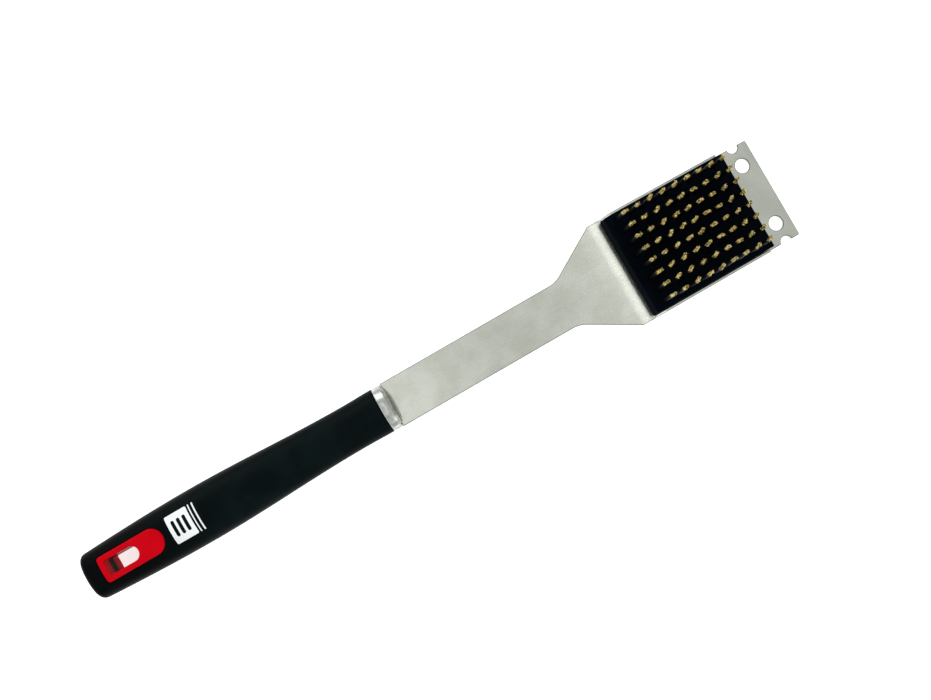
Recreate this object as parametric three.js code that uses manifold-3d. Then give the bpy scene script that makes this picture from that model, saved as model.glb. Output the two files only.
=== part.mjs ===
// A grill cleaning brush: one stamped steel blade carries a plastic block of brass tufts and ends in a
// scraper, and its tang runs through a ferrule into a two-shell plastic handle with a hanging slot.
// Millimetres. Every piece is drawn in the tool's own frame: +X towards the scraper, +Z the bristle side,
// X = 0 where the handle meets the ferrule and Z = 0 in the middle of the sheet. At the end the whole
// brush is tipped so that it lies on its scraper edge and its handle, bristles up.
import * as THREE from "three";
import { mergeVertices } from "three/addons/utils/BufferGeometryUtils.js";
import Module from "manifold-3d";

const wasm = await Module();
wasm.setup();

const degree = Math.PI / 180;
const fit = 0.3; // clearance between pieces that touch
const beyond = 40; // how far a cutter runs past what it cuts

// The steel blade: a strip that flares to the head, bends down and carries the tray and the scraper.
const sheetThickness = 1.6;
const neckWidth = 27.4;
const neckLength = 114.4; // from the ferrule to where the flare's edges would start without a fillet
const neckFillet = 16;
const flareAngle = 30.4 * degree; // each edge, away from the tool's axis
const shoulderToBend = 2.7; // straight edge between the flare and the bend
const headWidth = 64;
const headBend = 8 * degree; // the head drops away from the bristle side
const bendRadius = 3; // inside the bend

// Side walls of the tray.
const wallStart = 4.2; // from the bend
const wallPastBlock = 0.2;
const wallHeight = 5; // above the tray's floor
const wallRamp = 6;
const wallBend = 0.5; // inside radius at the floor

// The scraper, with a round hole and a side notch at each side.
const scraperLength = 21.7; // beyond the block
const scraperInset = 0.6; // narrower than the tray, on each side
const scraperCorner = 1;
const scraperHoleRadius = 4.3;
const scraperHoleFromSide = 12.2;
const scraperHoleFromEdge = 9.3;
const notchRadius = 3.5;

// Tang, inside the handle.
const tangWidth = 15;
const tangLength = 78; // behind the ferrule's front
const tangCorner = 4;
const tangPinRadius = 2;
const tangPinLength = 11;
const tangPinStations = [-24, -62];
const tangPinEdge = 0.5;

// The bristle block and its tufts, measured from the bend along the head.
const blockStart = 3.9;
const blockLength = 78.9;
const blockHeight = 9;
const blockEdge = 0.6;
const tuftRows = 8;
const tuftsInRow = 9;
const tuftFromRear = 6.5; // first and last tufts, from the block's ends
const tuftFromFront = 8.8;
const rowFromSide = 4.3; // outer rows, from the block's sides
const tuftLength = 17.5; // above the block
const tuftRoot = { halfLength: 1.7, halfWidth: 1.5 };
const tuftTip = { halfLength: 2.9, halfWidth: 1.9 };
const wireSize = 1; // the wire that draws a row's tufts into the block

// Screws from the underside of the tray, two behind the tufts and two in front of them.
const screwRadius = 1.5;
const screwLength = 7;
const screwHeadRadius = 2.8;
const screwHeadHeight = 1.6;
const screwFromMiddle = 2; // in row pitches, so that each screw stands between two rows
const screwFromRear = 3.2; // from the block's ends
const screwFromFront = 4;
const screwEdge = 0.5;
const recess = { length: 3, width: 0.7, depth: 0.9 };

// The handle: its half-width at four places along its length.
const handleLength = 188.5;
const handleFront = 13.5;
const handleWaist = { at: 17, halfWidth: 13.25 };
const handleBelly = { at: 118, halfWidth: 16.15 };
const handleButt = 13.95;
const handleFlatness = 0.68; // height over width
const handleSquareness = 2.3; // 2 is an ellipse, more is squarer
const handleWall = 2.5;
const handlePlug = 10; // solid front end
const buttRound = 3.5;
const bossRadius = 4.6; // round each tang pin

// Ferrule and the domed nose that closes it.
const ferruleLength = 5.6;
const ferruleWall = 1.2;
const ferruleEdge = 0.4;
const spigotLength = 2.6; // handle material inside the ferrule
const noseBulge = 2.8;

// Hanging slot through the handle, lined by a red eye on each side.
const slotFromButt = 14.3;
const slotLength = 20.2;
const slotWidth = 8.7;
const slotCorner = 0.8;
const eyeMargin = { back: 3.5, front: 15.9, side: 3.4 }; // plate beyond the slot
const eyeCorner = 1.7;
const eyeDepth = 2.9; // underside of the plate, below the handle's face
const eyeCollarWall = 1.3;
const eyeCollarBottom = 2.8;
const eyeProud = 0.3;
const eyeSeatWall = 1.8;

// Places that follow from the sizes above.
const weld = 0.1; // overlap of the flat sheets with the bend between them
const halfSheet = sheetThickness / 2;
const neckStart = ferruleLength + fit;
const flareStart = ferruleLength + neckLength;
const flareRise = (headWidth - neckWidth) / 2;
const flareEnd = flareStart + flareRise / Math.tan(flareAngle);
const bendStart = flareEnd + shoulderToBend;
const bendMiddle = bendRadius + halfSheet;
const blockFloor = halfSheet + fit;
const blockTop = blockFloor + blockHeight;
const blockWidth = headWidth - 2 * sheetThickness - 2 * fit;
const blockEnd = blockStart + blockLength;
const firstTuft = blockStart + tuftFromRear;
const tuftPitch = (blockLength - tuftFromRear - tuftFromFront) / (tuftsInRow - 1);
const firstRow = rowFromSide - blockWidth / 2;
const rowPitch = (blockWidth - 2 * rowFromSide) / (tuftRows - 1);
const wallEnd = blockEnd + wallPastBlock;
const headLength = blockEnd + scraperLength; // from the bend to the scraper's edge
const scraperWidth = headWidth - 2 * scraperInset;
const scraperHoleStation = headLength - scraperHoleFromEdge;
const ferruleHalfWidth = handleFront - ferruleWall;
const ferruleHalfHeight = handleFront * handleFlatness - ferruleWall;
const slotBack = slotFromButt - handleLength;
const eyeFloor = gripHalfWidth(-slotBack - slotLength / 2) * handleFlatness - eyeDepth;

// A closed mesh as a solid that can be joined and cut.
function solid(geometry) {
  const corners = geometry.index ? geometry.toNonIndexed() : geometry;
  const bare = new THREE.BufferGeometry();
  bare.setAttribute("position", corners.getAttribute("position"));
  const merged = mergeVertices(bare, 1e-4);
  return new wasm.Manifold(
    new wasm.Mesh({
      numProp: 3,
      vertProperties: merged.getAttribute("position").array,
      triVerts: new Uint32Array(merged.index.array),
    }),
  );
}

function geometryOf(body) {
  const mesh = body.getMesh();
  const geometry = new THREE.BufferGeometry();
  geometry.setAttribute("position", new THREE.BufferAttribute(mesh.vertProperties, 3));
  geometry.setIndex(new THREE.BufferAttribute(mesh.triVerts, 1));
  geometry.computeVertexNormals();
  return geometry;
}

function extruded(shape, depth, curveSegments = 5) {
  return new THREE.ExtrudeGeometry(shape, { depth, bevelEnabled: false, curveSegments });
}

// An outline in X and Y, raised from one height to another.
function slab(shape, low, high) {
  return solid(extruded(shape, high - low).translate(0, 0, low));
}

// A side outline in X and Z, widened evenly across Y.
function sideSlab(shape, width) {
  return solid(extruded(shape, width).translate(0, 0, -width / 2).rotateX(Math.PI / 2));
}

// A section drawn as (height, across), swept along X.
function swept(section, from, to) {
  return solid(extruded(section, to - from).rotateY(-Math.PI / 2).translate(to, 0, 0));
}

function box(xFrom, xTo, yFrom, yTo, zFrom, zTo) {
  const geometry = new THREE.BoxGeometry(xTo - xFrom, yTo - yFrom, zTo - zFrom);
  return solid(geometry.translate((xFrom + xTo) / 2, (yFrom + yTo) / 2, (zFrom + zTo) / 2));
}

function upright(radius, x, y, zFrom, zTo, sides = 20) {
  const geometry = new THREE.CylinderGeometry(radius, radius, zTo - zFrom, sides);
  return solid(geometry.rotateX(Math.PI / 2).translate(x, y, (zFrom + zTo) / 2));
}

// A shape symmetric about its X axis, from the outline of its +Y half, which starts and ends on the axis.
function mirrored(half, divisions = 3) {
  const points = half.getPoints(divisions);
  const opposite = points.slice(1, -1).map((point) => new THREE.Vector2(point.x, -point.y));
  return new THREE.Shape([...points, ...opposite.reverse()]);
}

// A body along X with oval sections, listed from its +X end to its -X end. A squareness of 2 is an ellipse.
function ovalBody(sections, sides, squareness = 2) {
  const geometry = new THREE.CylinderGeometry(1, 1, 1, sides, sections.length - 1);
  const points = geometry.getAttribute("position");
  const squared = (value) => Math.sign(value) * Math.abs(value) ** (2 / squareness);
  for (let i = 0; i < points.count; i++) {
    const section = sections[Math.round((0.5 - points.getY(i)) * (sections.length - 1))];
    const across = squared(points.getZ(i)) * section.halfWidth;
    const up = squared(points.getX(i)) * section.halfHeight;
    points.setXYZ(i, section.x, across, up);
  }
  return solid(geometry);
}

const turnUpright = new THREE.Matrix4().makeRotationY(-Math.PI / 2); // +X to +Z

// Sets what is drawn on a flat sheet, with X counted from the bend, onto the tilted head.
const ontoHead = new THREE.Matrix4()
  .makeTranslation(bendStart, 0, -bendMiddle)
  .multiply(new THREE.Matrix4().makeRotationY(headBend))
  .multiply(new THREE.Matrix4().makeTranslation(0, 0, bendMiddle));

function moved(body, matrix) {
  return body.transform(matrix.elements);
}

// The steel blade.

function tangOutline(grow) {
  const end = ferruleLength - tangLength - grow;
  const side = tangWidth / 2 + grow;
  const half = new THREE.Path();
  half.moveTo(end, 0);
  half.lineTo(end, side - tangCorner);
  half.absarc(end + tangCorner, side - tangCorner, tangCorner, Math.PI, Math.PI / 2, true);
  half.lineTo(neckStart + 1, side);
  half.lineTo(neckStart + 1, 0);
  return mirrored(half);
}

function neckOutline() {
  const filletStart = flareStart - neckFillet * Math.tan(flareAngle / 2);
  const filletCentre = neckWidth / 2 + neckFillet;
  const half = new THREE.Path();
  half.moveTo(neckStart, 0);
  half.lineTo(neckStart, neckWidth / 2);
  half.absarc(filletStart, filletCentre, neckFillet, -Math.PI / 2, flareAngle - Math.PI / 2, false);
  half.lineTo(flareEnd, headWidth / 2);
  half.lineTo(bendStart + weld, headWidth / 2);
  half.lineTo(bendStart + weld, 0);
  return mirrored(half);
}

function bendStrip() {
  const up = Math.PI / 2;
  const arc = new THREE.Shape();
  arc.absarc(bendStart, -bendMiddle, bendRadius + sheetThickness, up, up - headBend, true);
  arc.absarc(bendStart, -bendMiddle, bendRadius, up - headBend, up, false);
  return sideSlab(arc, headWidth);
}

function floorOutline() {
  const underWalls = headWidth / 2 - 2 * sheetThickness;
  const side = scraperWidth / 2;
  const half = new THREE.Path();
  half.moveTo(-weld, 0);
  half.lineTo(-weld, headWidth / 2);
  half.lineTo(wallStart, headWidth / 2);
  half.lineTo(wallStart, underWalls);
  half.lineTo(wallEnd, underWalls);
  half.lineTo(wallEnd, side);
  half.absarc(headLength - scraperCorner, side - scraperCorner, scraperCorner, Math.PI / 2, 0, true);
  half.lineTo(headLength, 0);
  return mirrored(half);
}

// The tray's floor with its side walls: a channel section, cut to the walls' length and their rear ramp.
function trayWalls() {
  const outerRadius = wallBend + sheetThickness;
  const centre = { height: outerRadius - halfSheet, across: headWidth / 2 - outerRadius };
  const top = halfSheet + wallHeight;
  const section = new THREE.Path();
  section.moveTo(-halfSheet, 0);
  section.absarc(centre.height, centre.across, outerRadius, Math.PI, Math.PI / 2, true);
  section.lineTo(top, headWidth / 2);
  section.lineTo(top, headWidth / 2 - sheetThickness);
  section.absarc(centre.height, centre.across, wallBend, Math.PI / 2, Math.PI, false);
  section.lineTo(halfSheet, 0);
  const channel = swept(mirrored(section), wallStart - beyond, wallEnd + beyond);
  const side = new THREE.Shape();
  side.moveTo(wallStart, -2 * sheetThickness);
  side.lineTo(wallEnd, -2 * sheetThickness);
  side.lineTo(wallEnd, top + wallHeight);
  side.lineTo(wallStart + 2 * wallRamp, top + wallHeight);
  side.lineTo(wallStart, halfSheet);
  return channel.intersect(sideSlab(side, headWidth + 2));
}

function screwPlaces() {
  const stations = [blockStart + screwFromRear, blockEnd - screwFromFront];
  return stations.flatMap((x) => [-1, 1].map((side) => ({ x, y: side * screwFromMiddle * rowPitch })));
}

function steelBlade() {
  let head = slab(floorOutline(), -halfSheet, halfSheet).add(trayWalls());
  for (const side of [-1, 1]) {
    const notchY = (side * scraperWidth) / 2;
    const holeY = notchY - side * scraperHoleFromSide;
    const hole = upright(scraperHoleRadius, scraperHoleStation, holeY, -beyond, beyond, 24);
    const notch = upright(notchRadius, scraperHoleStation, notchY, -beyond, beyond, 24);
    head = head.subtract(hole).subtract(notch);
  }
  for (const { x, y } of screwPlaces()) {
    head = head.subtract(upright(screwRadius + fit, x, y, -beyond, beyond, 12));
  }
  let blade = slab(tangOutline(0), -halfSheet, halfSheet).add(slab(neckOutline(), -halfSheet, halfSheet));
  for (const x of tangPinStations) {
    blade = blade.subtract(upright(tangPinRadius + fit, x, 0, -beyond, beyond, 16));
  }
  return blade.add(bendStrip()).add(moved(head, ontoHead));
}

// The bristle block and the tufts drawn into it, row by row.

function tuft(x, y, grow, sections) {
  const grown = sections.map((section) => ({
    x: section.at,
    halfWidth: section.halfWidth + grow,
    halfHeight: section.halfLength + grow,
  }));
  return moved(ovalBody(grown, 6), turnUpright).translate([x, y, 0]);
}

function tuftPlaces() {
  return Array.from({ length: tuftsInRow }, (_, i) => firstTuft + i * tuftPitch);
}

function rowWire(y, grow, low) {
  const half = wireSize / 2 + grow;
  const [first, last] = [firstTuft - half, firstTuft + (tuftsInRow - 1) * tuftPitch + half];
  return box(first, last, y - half, y + half, low, blockFloor + fit + wireSize + grow);
}

function bristleRow(row) {
  const y = firstRow + row * rowPitch;
  const sections = [
    { at: blockTop + tuftLength, ...tuftTip },
    { at: blockTop, ...tuftRoot },
    { at: blockFloor + fit, ...tuftRoot },
  ];
  const tufts = tuftPlaces().map((x) => tuft(x, y, 0, sections));
  return tufts.reduce((joined, next) => joined.add(next), rowWire(y, 0, blockFloor + fit));
}

function bristleBlock() {
  const size = { x: blockLength - 2 * blockEdge, y: blockWidth - 2 * blockEdge };
  const outline = new THREE.Shape();
  outline.moveTo(-size.x / 2, -size.y / 2);
  outline.lineTo(size.x / 2, -size.y / 2);
  outline.lineTo(size.x / 2, size.y / 2);
  outline.lineTo(-size.x / 2, size.y / 2);
  const geometry = new THREE.ExtrudeGeometry(outline, {
    depth: blockHeight - 2 * blockEdge,
    bevelThickness: blockEdge,
    bevelSize: blockEdge,
    bevelSegments: 1,
  });
  let body = solid(geometry.translate((blockStart + blockEnd) / 2, 0, blockFloor + blockEdge));
  const through = [
    { at: beyond, ...tuftRoot },
    { at: -beyond, ...tuftRoot },
  ];
  for (let row = 0; row < tuftRows; row++) {
    const y = firstRow + row * rowPitch;
    const cutters = tuftPlaces().map((x) => tuft(x, y, fit, through));
    body = body.subtract(cutters.reduce((joined, next) => joined.add(next), rowWire(y, fit, -beyond)));
  }
  for (const { x, y } of screwPlaces()) {
    body = body.subtract(upright(screwRadius + fit, x, y, -beyond, blockFloor + screwLength + fit, 12));
  }
  return body;
}

// A pan-head screw through the tray's floor into the block, with a cross recess in its head.
function blockScrew({ x, y }) {
  const seat = -halfSheet - fit;
  const low = seat - screwHeadHeight;
  const high = blockFloor + screwLength;
  const profile = [
    [0, low],
    [screwHeadRadius - screwEdge, low],
    [screwHeadRadius, low + screwEdge],
    [screwHeadRadius, seat],
    [screwRadius, seat],
    [screwRadius, high - screwRadius],
    [0, high],
  ];
  const points = profile.map(([radius, height]) => new THREE.Vector2(radius, height));
  let screw = solid(new THREE.LatheGeometry(points, 12).rotateX(Math.PI / 2));
  const { length, width, depth } = recess;
  screw = screw.subtract(box(-length / 2, length / 2, -width / 2, width / 2, -beyond, low + depth));
  screw = screw.subtract(box(-width / 2, width / 2, -length / 2, length / 2, -beyond, low + depth));
  return screw.translate([x, y, 0]);
}

// The handle.

function gripHalfWidth(back) {
  const ease = (share) => (1 - Math.cos(Math.PI * share)) / 2;
  if (back < handleWaist.at) {
    return handleFront + (handleWaist.halfWidth - handleFront) * ease(back / handleWaist.at);
  }
  if (back < handleBelly.at) {
    const share = (back - handleWaist.at) / (handleBelly.at - handleWaist.at);
    return handleWaist.halfWidth + (handleBelly.halfWidth - handleWaist.halfWidth) * ease(share);
  }
  const share = (back - handleBelly.at) / (handleLength - handleBelly.at);
  const taper = 1 - Math.cos((share * Math.PI) / 2);
  return handleBelly.halfWidth + (handleButt - handleBelly.halfWidth) * taper;
}

// The handle's outer form from a distance behind its front end, moved inwards by an inset all round.
function gripSections(inset, from = 0) {
  const sections = [];
  const add = (back, shrink) => {
    const halfWidth = gripHalfWidth(back);
    const halfHeight = halfWidth * handleFlatness;
    sections.push({ x: -back, halfWidth: halfWidth - shrink, halfHeight: halfHeight - shrink });
  };
  const roundStart = handleLength - buttRound;
  const steps = Math.round((roundStart - from) / 14);
  for (let i = 0; i < steps; i++) {
    add(from + ((roundStart - from) * i) / steps, inset);
  }
  const radius = Math.max(buttRound - inset, 0.5);
  for (let i = 0; i <= 3; i++) {
    const turn = (i * Math.PI) / 6;
    add(handleLength - inset - radius * (1 - Math.sin(turn)), inset + radius * (1 - Math.cos(turn)));
  }
  return sections;
}

function grip(inset, from) {
  return ovalBody(gripSections(inset, from), 24, handleSquareness);
}

// The slot's outline, square at the butt and round towards the head, grown by a margin on each side.
function slotOutline(margin, corner) {
  const back = slotBack - margin.back;
  const front = slotBack + slotLength + margin.front;
  const side = slotWidth / 2 + margin.side;
  const half = new THREE.Path();
  half.moveTo(back, 0);
  half.absarc(back + corner, side - corner, corner, Math.PI, Math.PI / 2, true);
  half.absarc(front - side, 0, side, Math.PI / 2, 0, true);
  return mirrored(half, 4);
}

function slotGrown(grow) {
  return slotOutline({ back: grow, front: grow, side: grow }, slotCorner + grow);
}

function eyeGrown(grow) {
  const { back, front, side } = eyeMargin;
  return slotOutline({ back: back + grow, front: front + grow, side: side + grow }, eyeCorner + grow);
}

// Upper half of the handle; the lower half is the same moulding turned over.
function handleShell() {
  const outer = grip(0);
  const tangTop = halfSheet + fit;
  let shell = outer.subtract(grip(handleWall, handlePlug));
  shell = shell.add(slab(eyeGrown(eyeSeatWall), 0, beyond).intersect(outer));
  for (const x of tangPinStations) {
    shell = shell.add(upright(bossRadius, x, 0, 0, beyond).intersect(outer));
  }
  const spigot = { halfWidth: ferruleHalfWidth - fit, halfHeight: ferruleHalfHeight - fit };
  const spigotSections = [
    { x: spigotLength, ...spigot },
    { x: -1, ...spigot },
  ];
  shell = shell.add(ovalBody(spigotSections, 24, handleSquareness));
  shell = shell.subtract(slab(tangOutline(fit), -beyond, tangTop));
  for (const x of tangPinStations) {
    shell = shell.subtract(upright(tangPinRadius + fit, x, 0, -beyond, tangPinLength / 2 + fit, 16));
  }
  shell = shell.subtract(slab(eyeGrown(fit), eyeFloor - fit, beyond));
  shell = shell.subtract(slab(slotGrown(eyeCollarWall + fit), eyeCollarBottom - fit, beyond));
  shell = shell.subtract(slab(slotGrown(0), -beyond, beyond));
  return shell.intersect(box(-handleLength - 1, beyond, -beyond, beyond, fit / 2, beyond));
}

// A red eye: a plate let into the handle's face, with a collar that lines the slot.
function hangEye() {
  const plate = slab(eyeGrown(0), eyeFloor, beyond).intersect(grip(-eyeProud));
  const collar = slab(slotGrown(eyeCollarWall), eyeCollarBottom, eyeFloor + 1);
  return plate.add(collar).subtract(slab(slotGrown(0), -beyond, beyond));
}

function tangPin() {
  const end = tangPinLength / 2;
  const rod = { halfWidth: tangPinRadius, halfHeight: tangPinRadius };
  const tip = { halfWidth: tangPinRadius - tangPinEdge, halfHeight: tangPinRadius - tangPinEdge };
  const sections = [
    { x: end, ...tip },
    { x: end - tangPinEdge, ...rod },
    { x: tangPinEdge - end, ...rod },
    { x: -end, ...tip },
  ];
  return moved(ovalBody(sections, 16), turnUpright);
}

// Ferrule and nose.

function ferrule() {
  const ring = (x, shrink) => ({
    x,
    halfWidth: handleFront - shrink,
    halfHeight: handleFront * handleFlatness - shrink,
  });
  const outer = [
    ring(ferruleLength, ferruleEdge),
    ring(ferruleLength - ferruleEdge, 0),
    ring(fit + ferruleEdge, 0),
    ring(fit, ferruleEdge),
  ];
  const bore = [ring(beyond, ferruleWall), ring(-beyond, ferruleWall)];
  return ovalBody(outer, 24, handleSquareness).subtract(ovalBody(bore, 24, handleSquareness));
}

function ferruleNose() {
  const section = (x, size) => ({
    x,
    halfWidth: (ferruleHalfWidth - fit) * size,
    halfHeight: (ferruleHalfHeight - fit) * size,
  });
  const dome = [80, 60, 40, 20, 0].map((turn) => {
    return section(ferruleLength + noseBulge * Math.sin(turn * degree), Math.cos(turn * degree));
  });
  const body = ovalBody([...dome, section(spigotLength + fit, 1)], 24, handleSquareness);
  const gap = halfSheet + fit;
  const strip = box(neckStart - fit, beyond, -neckWidth / 2 - fit, neckWidth / 2 + fit, -gap, gap);
  return body.subtract(slab(tangOutline(fit), -gap, gap)).subtract(strip);
}

// The assembly. Each piece has its own material.

const finishes = {
  stainless: { color: 0xb9bbb4, roughness: 0.35, metalness: 1 },
  polished: { color: 0xd4d6d4, roughness: 0.15, metalness: 1 },
  blackGrip: { color: 0x0b1416, roughness: 0.45, metalness: 0 },
  redTrim: { color: 0xc80416, roughness: 0.3, metalness: 0 },
  blackBlock: { color: 0x0a0d12, roughness: 0.55, metalness: 0 },
  brass: { color: 0xc79a3c, roughness: 0.35, metalness: 1 },
  zinc: { color: 0x9a9c9e, roughness: 0.4, metalness: 1 },
};

const brush = new THREE.Group();

function addPiece(name, body, finish) {
  const mesh = new THREE.Mesh(geometryOf(body), new THREE.MeshStandardMaterial(finishes[finish]));
  mesh.name = name;
  brush.add(mesh);
  return mesh;
}

addPiece("steel_blade", steelBlade(), "stainless");
addPiece("ferrule", ferrule(), "polished");
addPiece("ferrule_nose", ferruleNose(), "stainless");

const shell = handleShell();
const eye = hangEye();
addPiece("handle_upper_shell", shell, "blackGrip");
addPiece("handle_lower_shell", shell, "blackGrip").rotation.x = Math.PI;
addPiece("hang_eye_upper", eye, "redTrim");
addPiece("hang_eye_lower", eye, "redTrim").rotation.x = Math.PI;
["front", "rear"].forEach((end, i) => {
  addPiece(`tang_pin_${end}`, tangPin(), "zinc").position.x = tangPinStations[i];
});

addPiece("bristle_block", moved(bristleBlock(), ontoHead), "blackBlock");
for (let row = 0; row < tuftRows; row++) {
  addPiece(`bristle_row_${row + 1}`, moved(bristleRow(row), ontoHead), "brass");
}
screwPlaces().forEach((place, i) => {
  addPiece(`block_screw_${i + 1}`, moved(blockScrew(place), ontoHead), "zinc");
});

// Tip the brush so that its scraper edge and the lowest line of its handle are level, then set it on Z = 0.
const scraperEdge = new THREE.Vector3(headLength, 0, -halfSheet).applyMatrix4(ontoHead);
const point = new THREE.Vector3();
let slope = Math.PI / 2;
brush.updateMatrixWorld(true);
for (const piece of brush.children) {
  const points = piece.geometry.getAttribute("position");
  for (let i = 0; i < points.count; i++) {
    point.fromBufferAttribute(points, i).applyMatrix4(piece.matrixWorld);
    if (point.x < 0) {
      slope = Math.min(slope, Math.atan2(point.z - scraperEdge.z, scraperEdge.x - point.x));
    }
  }
}
brush.rotation.y = -slope;
brush.updateMatrixWorld(true);
const bounds = new THREE.Box3().setFromObject(brush, true);
const centre = bounds.getCenter(new THREE.Vector3());
brush.position.set(-centre.x, -centre.y, -bounds.min.z);

export default brush;
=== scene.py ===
import math
import random

import bmesh
import bpy
import numpy as np
from mathutils import Matrix, Vector
from mathutils.geometry import delaunay_2d_cdt


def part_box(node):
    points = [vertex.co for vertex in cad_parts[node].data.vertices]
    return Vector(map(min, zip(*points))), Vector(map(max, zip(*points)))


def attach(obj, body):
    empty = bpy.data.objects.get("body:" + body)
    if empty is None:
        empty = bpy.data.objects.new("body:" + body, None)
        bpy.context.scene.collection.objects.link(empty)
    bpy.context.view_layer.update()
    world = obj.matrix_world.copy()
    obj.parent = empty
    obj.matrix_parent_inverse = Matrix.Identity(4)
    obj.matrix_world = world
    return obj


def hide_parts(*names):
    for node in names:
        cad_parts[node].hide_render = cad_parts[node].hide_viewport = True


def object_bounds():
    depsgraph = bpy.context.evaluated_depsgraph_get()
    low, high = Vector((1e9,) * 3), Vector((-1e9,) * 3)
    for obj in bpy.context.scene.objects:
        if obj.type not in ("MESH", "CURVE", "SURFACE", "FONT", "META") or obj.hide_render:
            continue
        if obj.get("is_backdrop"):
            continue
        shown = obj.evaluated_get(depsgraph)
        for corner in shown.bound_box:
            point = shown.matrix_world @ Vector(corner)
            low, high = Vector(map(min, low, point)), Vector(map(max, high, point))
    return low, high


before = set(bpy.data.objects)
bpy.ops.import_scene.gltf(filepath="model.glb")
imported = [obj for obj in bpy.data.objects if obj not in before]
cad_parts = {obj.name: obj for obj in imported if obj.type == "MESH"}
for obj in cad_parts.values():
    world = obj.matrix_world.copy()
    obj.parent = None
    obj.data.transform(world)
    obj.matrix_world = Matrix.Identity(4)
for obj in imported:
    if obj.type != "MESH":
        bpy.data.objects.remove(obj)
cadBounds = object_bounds()
mm = 0.001
print("packed model loaded")

# Two frames in the brush's middle plane. The tool frame has X along the handle and starts where the handle
# meets the ferrule; the head frame lies on the tray's sheet and starts at the bend.

joints = {
    "gap": 0.3,  # mm, between pieces that touch
    "sheet": 1.6,
    "blockFromBend": 3.9,
    "bendRadius": 3,  # inside the bend between neck and head
    "far": 40,  # cutters reach this far, past the piece they cut
}


def rigid(origin, along):
    x = along.normalized()
    y = Vector((0, 1, 0))
    place = Matrix((x, y, x.cross(y))).transposed().to_4x4()
    place.translation = origin
    return place


def middle(node):
    low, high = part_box(node)
    return (low + high) / 2


def span(node, place):
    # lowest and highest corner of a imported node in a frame, in mm
    points = np.array([v.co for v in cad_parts[node].data.vertices])
    turned = (points - np.array(place.translation)) @ np.array(place.to_3x3()) / mm
    return turned.min(0), turned.max(0)


def shifted(place, x, z):
    return place @ Matrix.Translation((x * mm, 0, z * mm))


halfSheet = joints["sheet"] / 2
bendMiddle = joints["bendRadius"] + halfSheet
toolFrame = rigid(middle("tang_pin_front"), middle("tang_pin_front") - middle("tang_pin_rear"))
toolFrame = shifted(toolFrame, span("ferrule", toolFrame)[0][0] - joints["gap"], 0)
headFrame = rigid(middle("bristle_block"), middle("block_screw_3") - middle("block_screw_1"))
blockLow = span("bristle_block", headFrame)[0]
headFrame = shifted(
    headFrame, blockLow[0] - joints["blockFromBend"], blockLow[2] - halfSheet - joints["gap"]
)
headInTool = toolFrame.inverted() @ headFrame
headBend = math.atan2(-headInTool[2][0], headInTool[0][0])
bendStart = headInTool.translation.x / mm - bendMiddle * math.sin(headBend)


# Making meshes. All outlines are in mm; a finished piece is scaled to metres and set in its frame.


def newObject(name, points, faces):
    mesh = bpy.data.meshes.new(name)
    mesh.from_pydata([tuple(float(c) for c in p) for p in points], [], faces)
    made = bpy.data.objects.new(name, mesh)
    bpy.context.scene.collection.objects.link(made)
    return made


def fixNormals(piece):
    work = bmesh.new()
    work.from_mesh(piece.data)
    bmesh.ops.recalc_face_normals(work, faces=work.faces)
    work.to_mesh(piece.data)
    work.free()
    return piece


def lofted(name, rings, capped=True):
    # closed rings of equal length, joined one to the next; without caps the last joins the first
    count = len(rings[0])
    points = [p for ring in rings for p in ring]
    faces = []
    last = len(rings) - 1 if capped else len(rings)
    for i in range(last):
        here, there = i * count, (i + 1) % len(rings) * count
        for j in range(count):
            k = (j + 1) % count
            faces.append((here + j, here + k, there + k, there + j))
    if capped:
        faces.append(tuple(range(count))[::-1])
        faces.append(tuple(range(len(points) - count, len(points))))
    return fixNormals(newObject(name, points, faces))


def prism(name, outline, low, high):
    return lofted(name, [[(x, y, low) for x, y in outline], [(x, y, high) for x, y in outline]])


def circle(radius, x=0, y=0, steps=48):
    turns = [2 * math.pi * i / steps for i in range(steps)]
    return [(x + radius * math.cos(t), y + radius * math.sin(t)) for t in turns]


def arc(x, y, radius, start, end, steps):
    turns = [math.radians(start + (end - start) * i / steps) for i in range(steps + 1)]
    return [(x + radius * math.cos(t), y + radius * math.sin(t)) for t in turns]


def bothSides(half):
    # the outline of a shape that is symmetric about X, from its +Y half
    return half + [(x, -y) for x, y in reversed(half) if abs(y) > 1e-6]


def carve(body, other, operation="DIFFERENCE"):
    change = body.modifiers.new("carve", "BOOLEAN")
    change.operation = operation
    change.solver = "MANIFOLD"
    change.object = other
    graph = bpy.context.evaluated_depsgraph_get()
    mesh = bpy.data.meshes.new_from_object(body.evaluated_get(graph))
    mesh.materials.clear()
    body.modifiers.clear()
    body.data, spent = mesh, body.data
    bpy.data.meshes.remove(spent)
    bpy.data.objects.remove(other)
    return body


def rounded(piece, width, segments=2, sharper=50):
    # rounds the edges that turn by more than an angle
    work = bmesh.new()
    work.from_mesh(piece.data)
    limit = math.radians(sharper)
    edges = [e for e in work.edges if len(e.link_faces) == 2 and e.calc_face_angle(0) > limit]
    bmesh.ops.bevel(
        work, geom=edges, offset=width, segments=segments, profile=0.5, affect="EDGES", clamp_overlap=True
    )
    work.to_mesh(piece.data)
    work.free()
    return piece


def finishPiece(piece, place, material, replaced, sharp=35):
    piece.data.transform(place @ Matrix.Scale(mm, 4))
    piece.data.shade_smooth()
    piece.data.set_sharp_from_angle(angle=math.radians(sharp))
    piece.modifiers.new("even shading", "WEIGHTED_NORMAL").keep_sharp = True
    piece.data.materials.append(material)
    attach(piece, "root")
    if replaced:
        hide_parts(*replaced)
    return piece


# Finishes. A Field is a value that varies over a surface, so that masks can be written as sums.


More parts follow.
